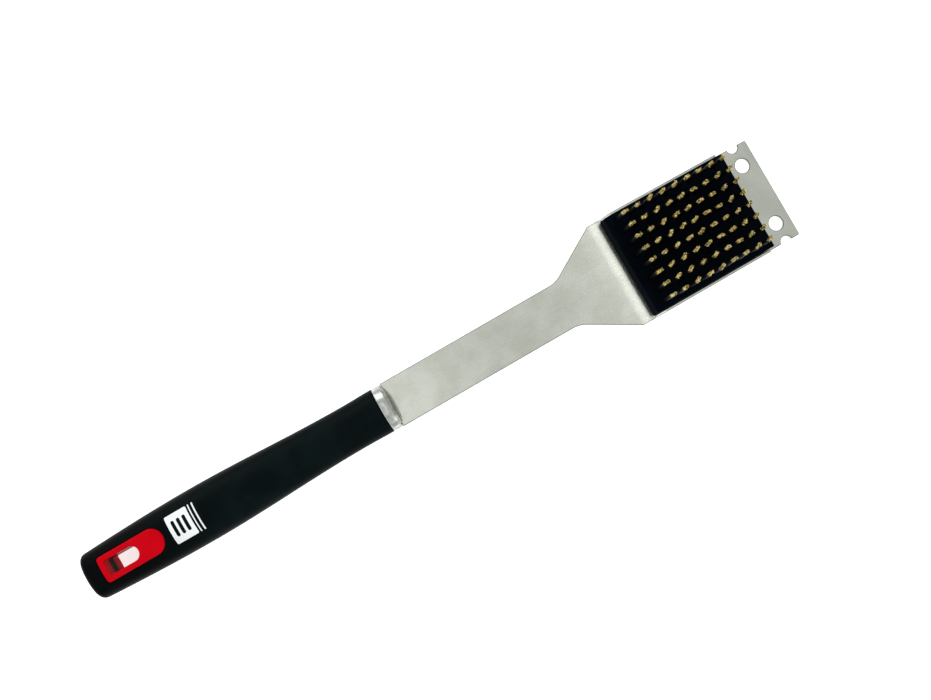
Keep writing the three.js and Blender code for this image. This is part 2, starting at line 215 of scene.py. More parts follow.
class Field:
    def __init__(self, finish, socket):
        self.finish = finish
        self.socket = socket

    def maths(self, operation, first, second):
        return self.finish.node("ShaderNodeMath", {"operation": operation}, {0: first, 1: second})

    def __add__(self, other):
        return self.maths("ADD", self, other)

    def __sub__(self, other):
        return self.maths("SUBTRACT", self, other)

    def __rsub__(self, other):
        return self.maths("SUBTRACT", other, self)

    def __mul__(self, other):
        return self.maths("MULTIPLY", self, other)

    __radd__ = __add__
    __rmul__ = __mul__


class Finish:
    def __init__(self, name, fixed, home=toolFrame):
        self.home = home
        self.material = bpy.data.materials.new(name)
        self.material.use_nodes = True
        self.tree = self.material.node_tree
        self.shader = self.tree.nodes["Principled BSDF"]
        for socket, value in fixed.items():
            self.feed(self.shader.inputs[socket], value)

    def feed(self, socket, value):
        if isinstance(value, Field):
            self.tree.links.new(value.socket, socket)
        else:
            socket.default_value = value

    def node(self, kind, settings, inputs, output=0):
        made = self.tree.nodes.new(kind)
        for key, value in settings.items():
            if key == "stops":
                ramp = made.color_ramp.elements
                while len(ramp) < len(value):
                    ramp.new(1)
                for stop, (at, shade) in zip(ramp, value):
                    stop.position = at
                    stop.color = (*shade, 1)
            else:
                setattr(made, key, value)
        for key, value in inputs.items():
            self.feed(made.inputs[key], value)
        return Field(self, made.outputs[output])

    def set(self, **values):
        for name, value in values.items():
            self.feed(self.shader.inputs[name.replace("_", " ")], value)
        return self.material

    def place(self, stretch=(1, 1, 1)):
        # where a point lies in the finish's own frame, in mm, stretched along each axis
        where = self.node("ShaderNodeTexCoord", {}, {}, "Object")
        inputs = {
            "Vector": where,
            "Location": self.home.translation,
            "Rotation": self.home.to_euler(),
            "Scale": tuple(mm / part for part in stretch),
        }
        return self.node("ShaderNodeMapping", {"vector_type": "TEXTURE"}, inputs)

    def noise(self, where, scale, detail=2, rough=0.5):
        inputs = {"Vector": where, "Scale": scale, "Detail": detail, "Roughness": rough}
        return self.node("ShaderNodeTexNoise", {}, inputs)

    def between(self, value, low, high, first=0, last=1):
        return self.node(
            "ShaderNodeMapRange",
            {"clamp": True, "interpolation_type": "SMOOTHSTEP"},
            {"Value": value, "From Min": low, "From Max": high, "To Min": first, "To Max": last},
        )

    def mixed(self, share, first, second):
        # sockets 6 and 7 take the two colours, and output 2 gives their mix
        return self.node("ShaderNodeMix", {"data_type": "RGBA"}, {"Factor": share, 6: first, 7: second}, 2)

    def blend(self, share, first, second):
        return self.mixed(share, (*first, 1), (*second, 1))

    def under(self, share, first, top):
        return self.mixed(share, (*first, 1), top)

    def bump(self, height, depth):
        return self.node("ShaderNodeBump", {}, {"Height": height, "Distance": depth * mm, "Strength": 1.0})


steelLook = {
    "light": (0.600, 0.622, 0.560),
    "dark": (0.525, 0.543, 0.476),
    "roughness": (0.25, 0.33),
    "brushDepth": 0.0009,
    "cloudScale": 0.055,
    "cloudEdges": (0.35, 0.68),
    "brushStretch": (0.05, 3, 3),  # long along the handle
    "speckScale": 1.4,
    "shares": (0.6, 0.4),  # of brushing and specks in the roughness
}


def stainlessFinish():
    made = Finish("satin stainless", {"Metallic": 1})
    where = made.place()
    clouds = made.noise(where, steelLook["cloudScale"], 3, 0.55)
    brushed = made.noise(made.place(steelLook["brushStretch"]), 1, 4, 0.6)
    specks = made.noise(where, steelLook["speckScale"], 2)
    cloudy = made.between(clouds, *steelLook["cloudEdges"])
    colour = made.blend(cloudy, steelLook["dark"], steelLook["light"])
    low, high = steelLook["roughness"]
    brushShare, speckShare = steelLook["shares"]
    roughness = made.between(brushed * brushShare + specks * speckShare, 0.3, 0.7, low, high)
    return made.set(
        Base_Color=colour, Roughness=roughness, Normal=made.bump(brushed, steelLook["brushDepth"])
    )


polishLook = {
    "turnStretch": (6, 0.3, 0.3),
    "smearScale": 0.35,
    "spread": (0.75, 1.3),  # lowest and highest roughness, as shares of the middle one
    "turnDepth": 0.0008,
}


def polishedFinish(name, light, dark, roughness):
    made = Finish(name, {"Metallic": 1})
    turned = made.noise(made.place(polishLook["turnStretch"]), 1, 2)
    smears = made.noise(made.place(), polishLook["smearScale"], 2)
    smoothest, roughest = polishLook["spread"]
    return made.set(
        Base_Color=made.blend(made.between(smears, 0.35, 0.65), dark, light),
        Roughness=made.between(turned, 0.3, 0.7, roughness * smoothest, roughness * roughest),
        Normal=made.bump(turned, polishLook["turnDepth"]),
    )


# On the grip the lighter blue-green tone is partly random tone of the plastic and partly painted sheen: it
# shows towards the front of the handle and fades out towards the butt, which is left darker.
gripLook = {
    "colour": (0.0004, 0.0012, 0.0013),
    "lighterTone": (0.0024, 0.0062, 0.0066),
    "roughness": (0.36, 0.46),
    "grain": 0.32,  # mm, across one grain of the moulded surface
    "grainDepth": 0.006,
}


def mouldedFinish(name, look, specular, paintedSheenFrom=None):
    made = Finish(name, {"Specular IOR Level": specular})
    where = made.place()
    grain = made.noise(where, 1 / look["grain"], 3, 0.6)
    clouds = made.noise(where, 0.06, 2)
    low, high = look["roughness"]
    share = made.between(clouds, 0.35, 0.7)
    # Where a place range is given, the lighter tone is a painted sheen that fades out along X between its
    # two places, leaving the butt end darker.
    if paintedSheenFrom:
        along = made.node("ShaderNodeSeparateXYZ", {}, {0: where}, "X")
        share = (share * 0.5 + 0.5) * made.between(along, *paintedSheenFrom)
    return made.set(
        Base_Color=made.blend(share, look["colour"], look["lighterTone"]),
        Roughness=made.between(grain * 0.5 + clouds * 0.5, 0.3, 0.7, low, high),
        Normal=made.bump(grain, look["grainDepth"]),
    )


redLook = {
    "colour": (0.46, 0.0002, 0.0045),
    "lighterTone": (0.53, 0.0008, 0.007),
    "roughness": (0.26, 0.36),
    "grain": 0.8,
    "grainDepth": 0.002,
}
blockLook = {
    "colour": (0.0008, 0.0020, 0.0036),
    "lighterTone": (0.0014, 0.0034, 0.0062),
    "roughness": (0.42, 0.55),
    "grain": 0.5,
    "grainDepth": 0.008,
}
printLook = {
    "colour": (0.72, 0.76, 0.77),
    "lighterTone": (0.84, 0.86, 0.86),
    "roughness": (0.45, 0.6),
    "grain": 0.6,
    "grainDepth": 0.002,
}
brassLook = {
    "gold": (0.82, 0.57, 0.08),
    "pale": (1.0, 0.90, 0.48),
    "shade": (0.04, 0.022, 0.004),  # painted shade between the wires
    # painted shadow on the lower part of the wires, where the tufts shade each other
    "paintedShadow": (0.003, 0.003, 0.003),
    "darkTo": 14.9,  # mm above the block; up to here the wires are painted as shadow
    "goldFrom": 16.7,
    "specular": 0.12,
    "metallic": (0.3, 0.55),  # of the painted shadow and of bright wire
    "roughness": (0.28, 0.42),
    "toneStretch": (1.6, 1.6, 0.25),
    "toneEdges": (0.38, 0.62),
    "wireStretch": (1.8, 1.8, 0.5),
    "wireEdges": (0.44, 0.50),
    "grainStretch": (4, 4, 9),
    "grainDepth": 0.004,
}


def brassFinish(blockTop):
    made = Finish("brass wire", {"Specular IOR Level": brassLook["specular"]}, headFrame)
    # Below darkTo the wires are painted near black as shadow, and a noise lays painted shade in dark
    # streaks between the wires.
    above = made.node("ShaderNodeSeparateXYZ", {}, {0: made.place()}, "Z") - blockTop
    height = made.between(above, brassLook["darkTo"], brassLook["goldFrom"])
    tone = made.noise(made.place(brassLook["toneStretch"]), 1, 2)
    wires = made.noise(made.place(brassLook["wireStretch"]), 1, 1)
    bright = made.between(tone, *brassLook["toneEdges"])
    gold = made.blend(bright, brassLook["gold"], brassLook["pale"])
    gold = made.under(made.between(wires, *brassLook["wireEdges"]), brassLook["shade"], gold)
    grain = made.noise(made.place(brassLook["grainStretch"]), 1, 2)
    return made.set(
        Base_Color=made.under(height, brassLook["paintedShadow"], gold),
        Metallic=made.between(height, 0, 1, *brassLook["metallic"]),
        Roughness=made.between(tone, 0.3, 0.7, *brassLook["roughness"]),
        Normal=made.bump(grain, brassLook["grainDepth"]),
    )


stainless = stainlessFinish()
polished = polishedFinish("polished steel", (0.52, 0.54, 0.50), (0.38, 0.40, 0.37), 0.27)
noseSteel = polishedFinish("nose steel", (0.38, 0.40, 0.36), (0.29, 0.31, 0.28), 0.3)
# painted shade: a darker steel for the blade's rounded edges, so that they read as shaded lines
shadedEdgeSteel = polishedFinish("sheared edge", (0.20, 0.21, 0.19), (0.13, 0.14, 0.12), 0.45)
zinc = polishedFinish("zinc plate", (0.60, 0.62, 0.64), (0.46, 0.48, 0.50), 0.34)
blackGrip = mouldedFinish("black grip plastic", gripLook, 0.03, (-165, -95))
redPlastic = mouldedFinish("red plastic", redLook, 0.02)
blackBlock = mouldedFinish("black block plastic", blockLook, 0.006)
whitePrint = mouldedFinish("white print", printLook, 0.2)
print("finishes made")


# The handle: two half shells, an eye in each, and the mark printed on the upper one.

handle = {
    "length": 188.5,
    "front": 13.5,  # half widths, at the front end, the waist, the belly and the butt
    "waistAt": 17,
    "waist": 13.25,
    "bellyAt": 118,
    "belly": 16.15,
    "butt": 13.95,
    "flatness": 0.68,  # height over width
    "squareness": 2.3,  # 2 is an ellipse
    "wall": 2.5,
    "plug": 10,  # solid front end
    "buttRound": 3.5,
    "frontRound": 0.35,
    "seamRound": 0.35,
    "spigot": 2.6,
    "bossRadius": 4.6,
    "archSteps": 72,
    "spigotTaper": 0.3,
    "spigotRim": 0.2,
}


def ease(share):
    return (1 - math.cos(math.pi * share)) / 2


def gripHalfWidth(back):
    front, waist, belly = handle["front"], handle["waist"], handle["belly"]
    if back < handle["waistAt"]:
        return front + (waist - front) * ease(max(back, 0) / handle["waistAt"])
    if back < handle["bellyAt"]:
        share = (back - handle["waistAt"]) / (handle["bellyAt"] - handle["waistAt"])
        return waist + (belly - waist) * ease(share)
    share = (back - handle["bellyAt"]) / (handle["length"] - handle["bellyAt"])
    return belly + (handle["butt"] - belly) * (1 - math.cos(share * math.pi / 2))


def crown(x, y, proud=0):
    # height of the handle's upper face above its middle plane
    width = gripHalfWidth(-x)
    power = handle["squareness"]
    share = min(abs(y) / (width + proud), 1)
    return (width * handle["flatness"] + proud) * (1 - share**power) ** (1 / power)


def squared(value):
    return math.copysign(abs(value) ** (2 / handle["squareness"]), value)


def evenRing(x, halfWidth, halfHeight, floor, rim):
    # the upper half of an oval section, closed along its floor, with a rounded rim where they meet
    lowest = math.asin((max(floor + rim, 0) / halfHeight) ** (handle["squareness"] / 2))
    side = [(x, halfWidth - rim, floor), (x, halfWidth - rim * 0.3, floor + rim * 0.3)]
    arch = []
    steps = handle["archSteps"]
    for i in range(steps + 1):
        turn = lowest + (math.pi - 2 * lowest) * i / steps
        arch.append((x, squared(math.cos(turn)) * halfWidth, squared(math.sin(turn)) * halfHeight))
    return side + arch + [(px, -py, pz) for px, py, pz in reversed(side)]


def gripRings(inset, start, floor, rim, step):
    rings = []
    radius = max(handle["buttRound"] - inset, 0.5)
    roundStart = handle["length"] - handle["buttRound"]
    count = round((roundStart - start) / step)
    places = [(start + (roundStart - start) * i / count, inset) for i in range(count)]
    for i in range(9):
        turn = math.pi / 2 * i / 8
        back = handle["length"] - inset - radius * (1 - math.sin(turn))
        places.append((back, inset + radius * (1 - math.cos(turn))))
    for back, shrink in places:
        width = gripHalfWidth(back)
        high = width * handle["flatness"] - shrink
        rings.append(evenRing(-back, width - shrink, high, floor, rim))
    return rings


slot = {
    "fromButt": 14.3,
    "length": 20.2,
    "width": 8.7,
    "corner": 0.8,
}
eye = {
    "back": 3.5,  # plate beyond the slot
    "front": 15.9,
    "side": 3.4,
    "corner": 1.7,
    "depth": 2.9,  # underside of the plate, below the handle's face
    "collarWall": 1.3,
    "collarBottom": 2.8,
    "proud": 0.3,
    "seatWall": 1.8,
    "rim": 0.7,  # rounding of the plate's edge
    "mouth": 0.5,  # rounding of the slot's edge
}
slotBack = slot["fromButt"] - handle["length"]
slotMiddle = slotBack + slot["length"] / 2
eyeFloor = gripHalfWidth(-slotMiddle) * handle["flatness"] - eye["depth"]
eyeMargins = (eye["back"], eye["front"], eye["side"])


def slotOutline(back, front, side, corner):
    # square towards the butt and round towards the head, grown by a margin on each side
    low = slotBack - back
    high = slotBack + slot["length"] + front
    half = slot["width"] / 2 + side
    corner = max(corner, 0.05)
    path = [(low, (half - corner) * i / 8) for i in range(8)]
    path += arc(low + corner, half - corner, corner, 180, 90, 8)
    straight = high - half - low - corner
    path += [(low + corner + straight * i / 24, half) for i in range(1, 24)]
    path += arc(high - half, 0, half, 90, 0, 24)
    return bothSides(path)


def slotGrown(grow):
    return slotOutline(grow, grow, grow, slot["corner"] + grow)


def eyeGrown(grow):
    back, front, side = eyeMargins
    return slotOutline(back + grow, front + grow, side + grow, eye["corner"] + grow)


def handleShell(name):
    gap = joints["gap"]
    far = joints["far"]
    floor = gap / 2
    front = handle["front"]
    flat = handle["flatness"]
    wall = ferrule["wall"] + gap
    spigot = (front - wall, front * flat - wall)
    taper, rim = handle["spigotTaper"], handle["spigotRim"]
    frontRings = [
        evenRing(handle["spigot"], spigot[0] - taper, spigot[1] - taper, floor, rim),
        evenRing(handle["spigot"] - taper, *spigot, floor, rim),
        evenRing(0, *spigot, floor, rim),
    ]
    edge = handle["frontRound"]
    for turn in (0, 45):
        shrink = edge * (1 - math.sin(math.radians(turn)))
        back = edge * (1 - math.cos(math.radians(turn)))
        high = front * flat - shrink
        frontRings.append(evenRing(-back, front - shrink, high, floor, handle["seamRound"]))
    rings = gripRings(0, edge, floor, handle["seamRound"], 2.2)

    def outer():
        return lofted("outer", frontRings + rings)

    def welded(shell, part, outline):
        # a prism kept under the outer face and joined to the shell
        return carve(shell, carve(prism(part, outline, 0, far), outer(), "INTERSECT"), "UNION")

    shell = carve(outer(), lofted("cavity", gripRings(handle["wall"], handle["plug"], -1, 0.2, 4)))
    shell.name = name
    shell = welded(shell, "seat", eyeGrown(eye["seatWall"]))
    pins = [span(node, toolFrame) for node in ("tang_pin_front", "tang_pin_rear")]
    for low, high in pins:
        shell = welded(shell, "boss", circle(handle["bossRadius"], (low[0] + high[0]) / 2))
    low, high = -blade["tangLength"] + ferrule["length"] - gap, far
    half = blade["tangWidth"] / 2 + gap
    channel = [(low, -half), (high, -half), (high, half), (low, half)]
    shell = carve(shell, prism("channel", channel, -far, halfSheet + gap))
    for low, high in pins:
        bore = circle((high[1] - low[1]) / 2 + gap, (low[0] + high[0]) / 2)
        shell = carve(shell, prism("bore", bore, -far, high[2] + gap))
    shell = carve(shell, prism("plate seat", eyeGrown(gap), eyeFloor - gap, far))
    collar = eye["collarWall"] + gap
    shell = carve(shell, prism("collar seat", slotGrown(collar), eye["collarBottom"] - gap, far))
    shell = carve(shell, prism("slot", slotGrown(0), -far, far))
    below = [(-far * 9, -far), (far, -far), (far, far), (-far * 9, far)]
    return carve(shell, prism("below", below, -far, floor))


def hangEye(name):
    # one profile, carried round the slot: up the plate's edge, over its face and down the slot's wall
    rim, mouth = eye["rim"], eye["mouth"]
    rings = []

    def ring(outline, height):
        rings.append([(x, y, height(x, y)) for x, y in outline])

    def face(x, y):
        return crown(x, y, eye["proud"])

    def level(height):
        return lambda x, y: height

    ring(eyeGrown(0), level(eyeFloor))
    for i in range(5):
        turn = math.pi / 2 * i / 4
        drop = rim * (1 - math.sin(turn))
        ring(eyeGrown(-rim * (1 - math.cos(turn))), lambda x, y, drop=drop: face(x, y) - drop)
    outer, inner = np.array(eyeGrown(-rim)), np.array(slotGrown(mouth))
    for i in range(1, 12):
        ring(outer + (inner - outer) * i / 12, face)
    for i in range(5):
        turn = math.pi / 2 * i / 4
        drop = mouth * (1 - math.cos(turn))
        ring(slotGrown(mouth * (1 - math.sin(turn))), lambda x, y, drop=drop: face(x, y) - drop)
    bottom = eye["collarBottom"]
    ring(slotGrown(0), level(bottom + 0.2))
    ring(slotGrown(0.2), level(bottom))
    ring(slotGrown(eye["collarWall"] - 0.2), level(bottom))
    ring(slotGrown(eye["collarWall"]), level(bottom + 0.2))
    ring(slotGrown(eye["collarWall"]), level(eyeFloor))
    return lofted(name, rings, capped=False)


# The mark is a generic one: a plate with the bars of a grate left open, and two plain stripes.

mark = {
    "from": -133.4,
    "to": -119.8,
    "halfWidth": 8.35,
    "corner": 0.9,
    "bars": 3,
    "barWidth": 2,
    "barSpacing": 3.5,
    "barHalfLength": 4.8,
    "stripes": ((-118.3, 0.7), (-115.9, 0.9)),  # place and width
    "thickness": 0.05,
    "lift": 0.03,  # above the handle's face
}


def insideLoops(x, y, loops):
    inside = False
    for loop in loops:
        for (ax, ay), (bx, by) in zip(loop, loop[1:] + loop[:1]):
            if (ay > y) != (by > y) and x < ax + (bx - ax) * (y - ay) / (by - ay):
                inside = not inside
    return inside


def drawnIn(loop, distance, solidInside):
    # a closed outline moved into the sheet's material
    area = sum(ax * by - bx * ay for (ax, ay), (bx, by) in zip(loop, loop[1:] + loop[:1]))
    turn = distance if (area > 0) == solidInside else -distance
    moved = []
    for i, here in enumerate(loop):
        before = (Vector(here) - Vector(loop[i - 1])).normalized()
        after = (Vector(loop[(i + 1) % len(loop)]) - Vector(here)).normalized()
        side = Vector((-before.y - after.y, before.x + after.x))
        moved.append(Vector(here) + side * turn / (1 + before.dot(after)))
    return moved


def layered(name, loops, creases, place, low, high, edge=0):
    # a sheet cut to closed loops, the first its outline, folded by place(x, y, height) between two heights
    def drawn(distance):
        return [drawnIn(loop, distance, i == 0 or not edge) for i, loop in enumerate(loops)]

    rims = drawn(edge)
    points, edges, starts = [], [], []
    for rim in rims:
        starts.append(len(points))
        edges += [(len(points) + i, len(points) + (i + 1) % len(rim)) for i in range(len(rim))]
        points += rim
    for ends in creases:
        edges.append((len(points), len(points) + 1))
        points += [Vector(p) for p in ends]
    flat, _, triangles, *_ = delaunay_2d_cdt(points, edges, [], 0, 1e-5)
    kept = []
    for tri in triangles:
        x, y = sum((flat[i] for i in tri), Vector((0, 0))) / 3
        if insideLoops(x, y, rims):
            kept.append(tuple(tri))
    sides = {(tri[i], tri[(i + 1) % 3]) for tri in kept for i in range(3)}
    sides = [(a, b) for a, b in sides if (b, a) not in sides]

    def onRim(spot):
        # which side of which loop a point of the rim lies on, and how far along
        best = (1e9, 0, 0, 0)
        for number, rim in enumerate(rims):
            for i, here in enumerate(rim):
                there = rim[(i + 1) % len(rim)]
                along = there - here
                share = min(max((spot - here).dot(along) / max(along.length_squared, 1e-12), 0), 1)
                best = min(best, ((here + along * share - spot).length, number, i, share))
        return best[1:]

    turns = [math.radians(turn) for turn in (30, 60, 90)] if edge else []
    layers = [(edge * (1 - math.sin(t)), high - edge * (1 - math.cos(t))) for t in turns]
    layers += [(inset, low + high - height) for inset, height in reversed(layers)]
    used = sorted({i for tri in kept for i in tri})
    index = {old: new for new, old in enumerate(used)}
    rimPoints = sorted({i for side in sides for i in side})
    spots = [place(*flat[i], high) for i in used] + [place(*flat[i], low) for i in used]
    ladders = {i: [index[i]] for i in rimPoints}
    rimPlaces = {i: onRim(flat[i]) for i in rimPoints}
    for inset, height in layers:
        outlines = drawn(inset)
        for i in rimPoints:
            number, k, share = rimPlaces[i]
            here, there = outlines[number][k], outlines[number][(k + 1) % len(outlines[number])]
            ladders[i].append(len(spots))
            spots.append(place(*(here + (there - here) * share), height))
    faces = [tuple(index[i] for i in tri) for tri in kept]
    faces += [tuple(index[i] + len(used) for i in reversed(tri)) for tri in kept]
    flatFaces = len(faces)
    for i in rimPoints:
        ladders[i].append(index[i] + len(used))
    for k in range(len(layers) + 1):
        for a, b in sides:
            faces.append((ladders[b][k], ladders[a][k], ladders[a][k + 1], ladders[b][k + 1]))
    piece = newObject(name, spots, faces)
    for i, face in enumerate(piece.data.polygons[flatFaces:]):
        # the rounded edges take the second material, on the blade a steel painted darker as shade, and the
        # flat between them the first
        face.material_index = 0 if i // len(sides) == len(layers) // 2 else 1
    work = bmesh.new()
    work.from_mesh(piece.data)
    bmesh.ops.dissolve_limit(
        work, angle_limit=math.radians(0.2), verts=work.verts, edges=work.edges, delimit={"MATERIAL"}
    )
    work.to_mesh(piece.data)
    work.free()
    return fixNormals(piece)


def roundedBox(low, high, corner, steps=6):
    (x0, y0), (x1, y1) = low, high
    path = arc(x1 - corner, y1 - corner, corner, 0, 90, steps)
    path += arc(x0 + corner, y1 - corner, corner, 90, 180, steps)
    path += arc(x0 + corner, y0 + corner, corner, 180, 270, steps)
    return path + arc(x1 - corner, y0 + corner, corner, 270, 360, steps)


def printedMark():
    half = mark["halfWidth"]
    loops = [roundedBox((mark["from"], -half), (mark["to"], half), mark["corner"])]
    centre = (mark["from"] + mark["to"]) / 2
    for i in range(mark["bars"]):
        x = centre + (i - (mark["bars"] - 1) / 2) * mark["barSpacing"]
        reach, thick = mark["barHalfLength"], mark["barWidth"] / 2
        loops.append(roundedBox((x - thick, -reach), (x + thick, reach), thick * 0.98))
    for x, width in mark["stripes"]:
        loops.append(roundedBox((x - width / 2, -half), (x + width / 2, half), width * 0.3))
    creases = [((mark["from"] - 2, y), (mark["to"] + 5, y)) for y in np.arange(-half + 0.4, half, 0.8)]

    def onHandle(x, y, height):
        return x, y, crown(x, y) + height

    low = mark["lift"]
    return layered("printed_mark", loops, creases, onHandle, low, low + mark["thickness"])


# Ferrule and nose.

ferrule = {
    "length": 5.6,
    "wall": 1.2,
    "edge": 0.45,
    "crown": 0.12,  # the band stands out in the middle by this
    "innerEdge": 0.15,
}
nose = {
    "bulge": 2.8,
    "spigot": 2.9,
    "edge": 0.12,
}


def oval(x, halfWidth, halfHeight, steps=120):
    turns = [2 * math.pi * i / steps for i in range(steps)]
    return [(x, squared(math.cos(t)) * halfWidth, squared(math.sin(t)) * halfHeight) for t in turns]


def frontOval(x, inset):
    return oval(x, handle["front"] - inset, handle["front"] * handle["flatness"] - inset)


def ferruleBand():
    back, front, edge = joints["gap"], ferrule["length"], ferrule["edge"]
    rings = []
    for turn in range(0, 91, 18):
        away = edge * (1 - math.sin(math.radians(turn)))
        rings.append(frontOval(front - edge * (1 - math.cos(math.radians(turn))), away))
    for i in range(1, 8):
        share = i / 8
        x = front - edge + (back - front + 2 * edge) * share
        rings.append(frontOval(x, -ferrule["crown"] * math.sin(math.pi * share)))
    for turn in range(90, -1, -18):
        away = edge * (1 - math.sin(math.radians(turn)))
        rings.append(frontOval(back + edge * (1 - math.cos(math.radians(turn))), away))
    wall, chamfer = ferrule["wall"], ferrule["innerEdge"]
    rings.append(frontOval(back, wall))
    rings.append(frontOval((back + front) / 2, wall))
    rings.append(frontOval(front - chamfer, wall))
    rings.append(frontOval(front, wall - chamfer))
    return lofted("ferrule_band", rings, capped=False)


def ferruleNose():
    gap, far = joints["gap"], joints["far"]
    inset = ferrule["wall"] + gap
    half = (handle["front"] - inset, handle["front"] * handle["flatness"] - inset)
    rings = []
    for turn in range(85, -1, -5):
        size = math.cos(math.radians(turn))
        x = ferrule["length"] + nose["bulge"] * math.sin(math.radians(turn))
        rings.append(oval(x, half[0] * size, half[1] * size))
    rings.append(oval(nose["spigot"], *half))
    body = lofted("ferrule_nose_dome", rings)
    reach = halfSheet + gap
    start = ferrule["length"]
    wide = blade["neckWidth"] / 2 + gap
    strip = [(start, -wide), (far, -wide), (far, wide), (start, wide)]
    narrow = blade["tangWidth"] / 2 + gap
    tang = [(-far, -narrow), (far, -narrow), (far, narrow), (-far, narrow)]
    body = carve(body, prism("strip", strip, -reach, reach))
    return rounded(carve(body, prism("tang", tang, -reach, reach)), nose["edge"])


# The blade: one flat pattern, folded at the bend and along the tray's walls.

blade = {
    "tangWidth": 15,
    "tangLength": 78,
    "tangCorner": 4,
    "neckWidth": 27.4,
    "fillet": 16,
    "flareAngle": 30.4,
    "shoulder": 2.7,  # straight edge between the flare and the bend
    "softBend": 60,  # the sheet is rolled over the bend at this radius
    "wallStart": 4.2,
    "wallPastBlock": 0.2,
    "wallHeight": 5,
    "wallRamp": 6,
    "wallBend": 0.5,  # inside radius
    "wallRise": 1.6,  # the sheet turns up over this length at each end of a wall
    "wallHalfRise": 0.9,  # share of the fold that the outline has crossed halfway up that length
    "scraperInset": 0.6,
    "scraperCorner": 1,
    "holeRadius": 4.3,
    "holeFromSide": 12.2,
    "holeFromEdge": 9.3,
    "notchRadius": 3.5,
    "screwHole": 1.8,
    "edgeRound": 0.42,
}


def steelBlade():
    edge, half = span("steel_blade", headFrame)[1][:2]
    blockEnd = span("bristle_block", headFrame)[1][0]
    soft, away = blade["softBend"], math.tan(headBend / 2)
    softStart = bendStart + (bendMiddle - soft) * away
    softLength = soft * headBend
    onHead = softStart + softLength + (bendMiddle - soft) * away
    foldRadius = blade["wallBend"] + halfSheet
    foldLength = foldRadius * math.pi / 2
    foldAt = half - joints["sheet"] - blade["wallBend"]
    wallTop = foldAt + foldLength + blade["wallHeight"] + halfSheet - foldRadius
    wallEnd = blockEnd + blade["wallPastBlock"]
    scraperSide = half - blade["scraperInset"]
    holeAt = edge - blade["holeFromEdge"]
    flareEnd = bendStart - blade["shoulder"]
    angle = math.radians(blade["flareAngle"])
    flareLength = (half - blade["neckWidth"] / 2) / math.tan(angle)
    filletAt = flareEnd - flareLength - blade["fillet"] * math.tan(angle / 2)
    neckSide, tangSide = blade["neckWidth"] / 2, blade["tangWidth"] / 2
    tangEnd = ferrule["length"] - blade["tangLength"]
    neckFrom = ferrule["length"] + joints["gap"]
    corner, rise = blade["tangCorner"], blade["wallRise"]

    path = [(tangEnd, 0)]
    path += arc(tangEnd + corner, tangSide - corner, corner, 180, 90, 10)
    path += [(neckFrom, tangSide), (neckFrom, neckSide)]
    path += arc(filletAt, neckSide + blade["fillet"], blade["fillet"], -90, blade["flareAngle"] - 90, 24)
    path += [(flareEnd, half)]
    start, end = onHead + blade["wallStart"], onHead + wallEnd
    partUp, fullUp = foldAt + foldLength * blade["wallHalfRise"], foldAt + foldLength
    path += [(start, half), (start + rise / 2, partUp), (start + rise, fullUp)]
    path += [(start + blade["wallRamp"], wallTop), (end - rise, wallTop)]
    path += [(end - rise, fullUp), (end - rise / 2, partUp)]
    path += [(end, scraperSide)]
    path += arc(onHead + holeAt, scraperSide, blade["notchRadius"], 180, 360, 32)
    tip, snip = onHead + edge, blade["scraperCorner"]
    path += arc(tip - snip, scraperSide - snip, snip, 90, 0, 8)
    loops = [bothSides(path)]
    holeSide = scraperSide - blade["holeFromSide"]
    loops += [circle(blade["holeRadius"], onHead + holeAt, side * holeSide, 64) for side in (-1, 1)]
    for i in range(1, 5):
        screwLow, screwHigh = span(f"block_screw_{i}", headFrame)
        x, y = (screwLow[0] + screwHigh[0]) / 2, (screwLow[1] + screwHigh[1]) / 2
        loops.append(circle(blade["screwHole"], onHead + x, y, 24))
    for node in ("tang_pin_front", "tang_pin_rear"):
        pinLow, pinHigh = span(node, toolFrame)
        radius = (pinHigh[1] - pinLow[1]) / 2 + joints["gap"]
        loops.append(circle(radius, (pinLow[0] + pinHigh[0]) / 2, 0, 24))
    rolls = [softStart + softLength * i / 12 for i in range(13)]
    creases = [((x, -half), (x, half)) for x in rolls]
    for side in (-1, 1):
        for i in range(9):
            y = side * (foldAt + foldLength * i / 8)
            creases.append(((start, y), (end, y)))
        for i in range(5):
            for x in (start + rise * i / 4, end - rise * i / 4):
                creases.append(((x, side * foldAt), (x, side * half)))

    slack = 0.01

    def folded(x, y, height):
        side = math.copysign(1, y)
        if start - slack < x < end + slack and abs(y) > foldAt:
            raised = min(max(min(x - start, end - x) / rise, 0), 1) * math.pi / 2
            along = min((abs(y) - foldAt) / foldRadius, raised)
            past = abs(y) - foldAt - along * foldRadius
            inner = foldRadius - height
            y = side * (foldAt + inner * math.sin(along) + past * math.cos(along))
            height = foldRadius + past * math.sin(along) - inner * math.cos(along)
        turn = min(max(x - softStart, 0), softLength) / soft
        onward = max(x - softStart - softLength, 0)
        reach = soft + height
        flat = min(x, softStart)
        return (
            flat + reach * math.sin(turn) + onward * math.cos(turn),
            y,
            reach * math.cos(turn) - soft - onward * math.sin(turn),
        )

    return layered(
        "steel_blade_sheet", loops, creases, folded, -halfSheet, halfSheet, blade["edgeRound"]
    )


# The head: block, tufts of crimped wire, and screws.

